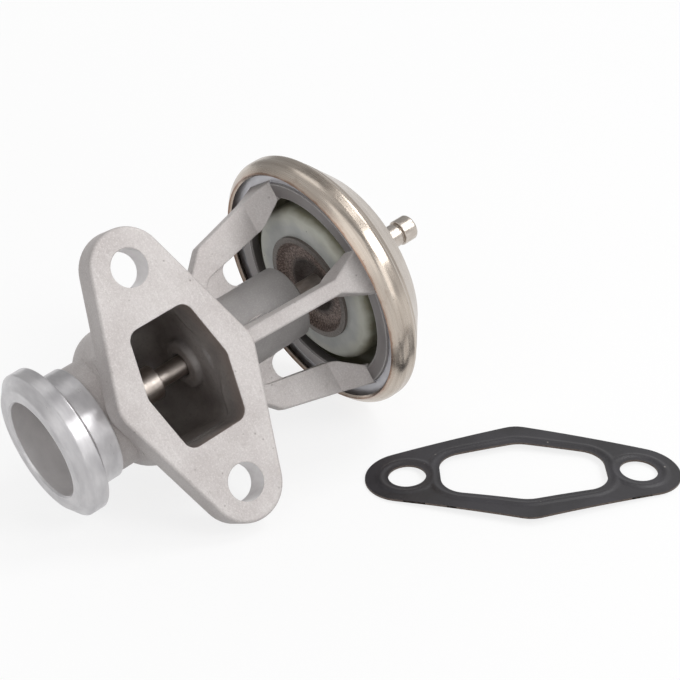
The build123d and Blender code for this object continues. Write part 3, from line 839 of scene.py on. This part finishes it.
def gasket_height(edges, point):
    """The arch's height and the pressed bead's height over one point, in millimetres."""
    reach = HOLE_HEIGHT + GASKET_LOBE
    drop = sqrt(GASKET_BOW_RADIUS ** 2 - reach ** 2)
    arch = sqrt(GASKET_BOW_RADIUS ** 2 - point.x ** 2) - drop
    share = min(1.0, abs(edges.off_opening(point) - BEAD_MIDDLE) / BEAD_HALF_WIDTH)
    return arch, (0.5 + 0.5 * cos(pi * share)) * BEAD_HEIGHT


def make_gasket():
    """A thin arched sheet with beads pressed round its port and bolt holes."""
    holes = [
        arc((side * HOLE_HEIGHT, 0), GASKET_HOLE, 0, 2 * pi)[:-1] for side in (-1, 1)
    ]
    outline = plate_outline(GASKET_LOBE, GASKET_WAIST, GASKET_WAIST_ROUND)
    edges = Edges(outline, [gasket_port(), *holes])
    points = edges.points[:]
    row_step = GRID * sin(pi / 3)
    rows = ceil(GASKET_WAIST / row_step)
    columns = ceil((HOLE_HEIGHT + GASKET_LOBE) / GRID)
    for row in range(-rows, rows + 1):
        for column in range(-columns, columns + 1):
            point = Vector(((column + 0.5 * (row % 2)) * GRID, row * row_step))
            if edges.inside(point, EDGE_CLEARANCE):
                points.append(point)
    flat, _, faces, *_ = delaunay_2d_cdt(points, edges.constraints(), [], 0, SAME_POINT, False)
    kept = [
        list(face) for face in faces
        if edges.inside(sum((flat[i] for i in face), Vector((0, 0))) / len(face))
    ]
    turn = Matrix.Rotation(GASKET_TURN, 2)
    work = bmesh.new()
    under, over = [], []
    for point in flat:
        arch, bead = gasket_height(edges, point)
        x, y = (turn @ Vector((point.x, point.y)) + GASKET_CENTRE) * MM
        under.append(work.verts.new((x, y, (arch + bead) * MM)))
        over.append(work.verts.new((x, y, (arch + bead + GASKET_THICKNESS) * MM)))
    borders = set()
    for face in kept:
        work.faces.new([over[i] for i in face])
        work.faces.new([under[i] for i in reversed(face)])
        borders.update(zip(face, face[1:] + face[:1]))
    for a, b in borders:
        if (b, a) not in borders:
            side = work.faces.new([over[b], over[a], under[a], under[b]])
            side.material_index = 1
    loose = [vertex for vertex in work.verts if not vertex.link_faces]
    bmesh.ops.delete(work, geom=loose, context="VERTS")
    mesh = finished_mesh("gasket_sheet", work, 50.0, gasket_coating(), gasket_cut())
    piece = new_piece("gasket_sheet", mesh)
    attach(piece, "gasket")
    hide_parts("flange_gasket")


# ---------------------------------------------------------------- casting details
GUSSET_REACH = 12.9               # up and down the bolt line
GUSSET_INSET = 0.5                # behind the flange's edge
GUSSET_SMALLEST_LEAN = 0.6        # how far its foot lies behind its top where it is shallow
GUSSET_LEAN_GROWTH = 0.45         # more of it for each millimetre of depth
GUSSET_LEAN = 2.6                 # where it is deep
GUSSET_TOP_SUNK = 0.2             # into the flange
GUSSET_FOOT_SUNK = 0.15           # into the neck
GUSSET_BACK_TOP = Vector((3.0, 0.3))    # from its face to its buried back
GUSSET_BACK_FOOT = Vector((3.0, -0.5))
GUSSET_STEPS = 8
PARTING_STEP = 3                  # the step of the sweep that carries the parting line
PARTING_START = 2.2               # from the middle of the bolt line
PARTING_SIZE = 0.2, 0.2           # half width, height
PARTING_LEAN = 0.45               # share of the flange's direction in the way it stands out
SLIVER_SIZE = 0.34, 0.22
SLIVER_RUN = 25.2, 29.6           # along the stem
SLIVER_RADIUS = 9.36
SLIVER_TURN = atan2(1.72, 9.22)   # round the tube, from the flange's direction
SLIVER_STEPS = 12
FLASH_SUNK = 0.12                 # into the casting
FLASH_CREST = 0.3                 # share of the width that is flat on top


def cast_detail(name, rows, angle, skin):
    """A closed piece of the casting, skinned over rows of places."""
    work = bmesh.new()
    rows = [[work.verts.new(place) for place in row] for row in rows]
    for here, following in zip(rows, rows[1:]):
        for corners in zip(here, here[1:] + here[:1], following[1:] + following[:1], following):
            work.faces.new(corners)
    work.faces.new(rows[0])
    work.faces.new(rows[-1][::-1])
    piece = new_piece(name, finished_mesh(name, work, angle, skin))
    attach(piece, "valve_body")


def gusset_section(along, up):
    """A concave sweep from under the flange's edge down to the neck, and its buried back."""
    foot = sqrt(NECK_RADIUS ** 2 - up ** 2)
    drop = FLANGE_BACK - foot
    lean = min(GUSSET_LEAN, GUSSET_SMALLEST_LEAN + GUSSET_LEAN_GROWTH * drop)
    start = along + GUSSET_INSET
    top = Vector((start, FLANGE_BACK + GUSSET_TOP_SUNK))
    bend = Vector((start + 0.35 * lean, foot + 0.25 * drop))
    base = Vector((start + 0.2 * lean, foot - GUSSET_FOOT_SUNK))
    face = []
    for index in range(GUSSET_STEPS + 1):
        share = index / GUSSET_STEPS
        face.append(top.lerp(bend, share).lerp(bend.lerp(base, share), share))
    back = [base + GUSSET_BACK_FOOT, top + GUSSET_BACK_TOP]
    return [on_valve(point.x, point.y, up) for point in face + back]


def gusset_stations():
    """Places along the flange's left edge: up the bolt line and along the stem."""
    edge = plate_outline(FLANGE_LOBE, FLANGE_WAIST, FLANGE_WAIST_ROUND)
    places = (point for point in edge if point.y > 0 and abs(point.x) < GUSSET_REACH)
    return sorted((point.x, -point.y) for point in places)


def make_gusset(skin):
    """The cast web that fills the corner between the flange's back and the neck."""
    rows = [gusset_section(along, up) for up, along in gusset_stations()]
    cast_detail("neck_gusset", rows, 40.0, skin)


def make_ridge(name, centres, out, size, skin):
    """A thin raised line of flash along a run of places, lens-shaped at both ends."""
    half_width, height = size
    last = len(centres) - 1
    rows = []
    for index, centre in enumerate(centres):
        before, after = centres[max(0, index - 1)], centres[min(last, index + 1)]
        share = sin(pi * (index + 0.35) / (last + 0.7))
        reach = (after - before).cross(out).normalized() * half_width * share * MM
        crest = centre + out * height * share * MM
        foot = centre - out * FLASH_SUNK * MM
        flat = reach * FLASH_CREST
        rows.append([foot - reach, crest - flat, crest + flat, foot + reach])
    cast_detail(name, rows, 60.0, skin)


def make_flash(skin):
    """The parting line left on the gusset, and a cast sliver on the guide tube."""
    out = (FLANGE_OUT * PARTING_LEAN - STEM_AXIS).normalized()
    for name, side in (("upper_flash", 1), ("lower_flash", -1)):
        centres = [
            gusset_section(along, up)[PARTING_STEP]
            for up, along in gusset_stations() if PARTING_START < up * side
        ]
        make_ridge(name, centres, out, PARTING_SIZE, skin)
    start, end = SLIVER_RUN
    ahead, aside = cos(SLIVER_TURN), sin(SLIVER_TURN)
    places = [start + (end - start) * index / SLIVER_STEPS for index in range(SLIVER_STEPS + 1)]
    centres = [on_valve(along, SLIVER_RADIUS * ahead, SLIVER_RADIUS * aside) for along in places]
    make_ridge("tube_flash", centres, FLANGE_OUT * ahead + BOLT_AXIS * aside, SLIVER_SIZE, skin)


# ---------------------------------------------------------------- stage
LAMP_DISTANCE = 1.0
LAMPS = {                         # azimuth and height in degrees, size in metres, brightness
    "key": (152, 42, 0.42, 6.1),
    "right": (102, 56, 0.38, 5.4),
    "front": (-178, 16, 0.6, 1.4),
    "left": (-112, 22, 1.0, 0.8),
    "back": (-10, 62, 0.5, 0.8),
    "fill": (15, 18, 1.0, 1.0),
}
UNREFLECTED_LAMPS = ("fill",)
SKY = 0.66, 0.3                   # brightness in reflections, and as light
PATCHES = (                       # azimuth, height, half width, fade in degrees; brightness
    (-138, 44, 14, 20, 0.38, 0.3),
    (5, 12, 20, 30, 0.42, 0.26),
    (28, 60, 8, 14, 0.3, 0.3),
)
FLOOR_SIZE = 6.0
FLOOR_SEEN = 0.8                  # share of plain white where it is looked at
FLOOR_FADE = 0.22, 0.7            # metres from the object: the floor gives way to white
FLOOR_AS_LIGHT = grey(0.3)
FLOOR_AS_SEEN = grey(0.98)


def make_camera():
    data = bpy.data.cameras.new("camera")
    data.lens = LENS_MM
    data.sensor_width = SENSOR_MM
    camera = bpy.data.objects.new("camera", data)
    bpy.context.scene.collection.objects.link(camera)
    level = (CAMERA_AIM - CAMERA_PLACE).to_track_quat("-Z", "Y").to_matrix().to_4x4()
    roll = Matrix.Rotation(-CAMERA_ROLL, 4, "Z")
    camera.matrix_world = Matrix.Translation(CAMERA_PLACE) @ level @ roll
    bpy.context.scene.camera = camera


def make_floor():
    """White to the eye and in reflections, grey as a source of light, with a soft shadow."""
    bpy.ops.mesh.primitive_plane_add(size=FLOOR_SIZE, location=(0, 0, 0))
    floor = bpy.context.object
    floor.name = "floor"
    nodes = Nodes("floor")
    seen = nodes.seen_by("Is Camera Ray", "Is Glossy Ray", "Is Transmission Ray")
    colour = nodes.mix(seen, FLOOR_AS_LIGHT, FLOOR_AS_SEEN)
    nodes.set(Base_Color=colour, Roughness=0.9, Specular_IOR_Level=0.0)
    white = nodes.add("ShaderNodeEmission")
    blend = nodes.add("ShaderNodeMixShader")
    nodes.feed(blend.inputs["Fac"], nodes.product(seen, FLOOR_SEEN))
    nodes.feed(blend.inputs[1], nodes.shader.outputs["BSDF"])
    nodes.feed(blend.inputs[2], white.outputs["Emission"])
    place = nodes.add("ShaderNodeNewGeometry").outputs["Position"]
    start, end = (reach ** 2 for reach in FLOOR_FADE)
    away = nodes.level(nodes.vector("DOT_PRODUCT", place, place), start, end, 0.0, 1.0)
    clear = nodes.add("ShaderNodeBsdfTransparent")
    fade = nodes.add("ShaderNodeMixShader")
    nodes.feed(fade.inputs["Fac"], nodes.product(nodes.seen_by("Is Camera Ray"), away))
    nodes.feed(fade.inputs[1], blend.outputs["Shader"])
    nodes.feed(fade.inputs[2], clear.outputs["BSDF"])
    nodes.feed(nodes.tree.nodes["Material Output"].inputs["Surface"], fade.outputs["Shader"])
    floor.data.materials.append(nodes.material)


def make_world():
    """White behind the object; in reflections a studio with darker and brighter places."""
    world = bpy.data.worlds.new("world")
    bpy.context.scene.world = world
    world.use_nodes = True
    nodes = Tree(world.node_tree)
    direction = nodes.add("ShaderNodeTexCoord").outputs["Generated"]
    levels = list(SKY)
    for azimuth, height, half, fade, *patch in PATCHES:
        facing = nodes.vector("DOT_PRODUCT", direction, towards(azimuth, height))
        start, end = cos(radians(half + fade)), cos(radians(half))
        share = nodes.level(facing, start, end, 0.0, 1.0, smooth=True)
        for index, (sky, value) in enumerate(zip(SKY, patch)):
            levels[index] = nodes.sum(levels[index], nodes.product(share, value - sky))
    reflected, as_light = levels
    glossy = nodes.seen_by("Is Glossy Ray", "Is Transmission Ray")
    more = nodes.maths("SUBTRACT", reflected, as_light)
    lit = nodes.sum(as_light, nodes.product(glossy, more))
    rest = nodes.maths("SUBTRACT", 1.0, lit)
    background = nodes.tree.nodes["Background"]
    strength = nodes.sum(lit, nodes.product(nodes.seen_by("Is Camera Ray"), rest))
    nodes.feed(background.inputs["Strength"], strength)
    nodes.feed(background.inputs["Color"], grey(1.0))


def make_lamps():
    """Square panels round the object, no part of which the camera sees."""
    for name, (azimuth, height, size, brightness) in LAMPS.items():
        data = bpy.data.lights.new(name, "AREA")
        data.size = size
        data.energy = brightness * pi * size ** 2
        lamp = bpy.data.objects.new(name, data)
        lamp.location = towards(azimuth, height) * LAMP_DISTANCE
        lamp.rotation_euler = (-lamp.location).to_track_quat("-Z", "Y").to_euler()
        lamp.visible_camera = False
        lamp.visible_glossy = name not in UNREFLECTED_LAMPS
        bpy.context.scene.collection.objects.link(lamp)


# ---------------------------------------------------------------- the run
bpy.context.scene.view_settings.view_transform = "Standard"
make_camera()
make_floor()
make_world()
make_lamps()

dress_housing()
dress_diaphragm()
dress_spring()
make_gasket()
cast_skin = frame["nodes"]["housing"].data.materials[0]
make_gusset(cast_skin)
make_flash(cast_skin)
dress_small_pieces()
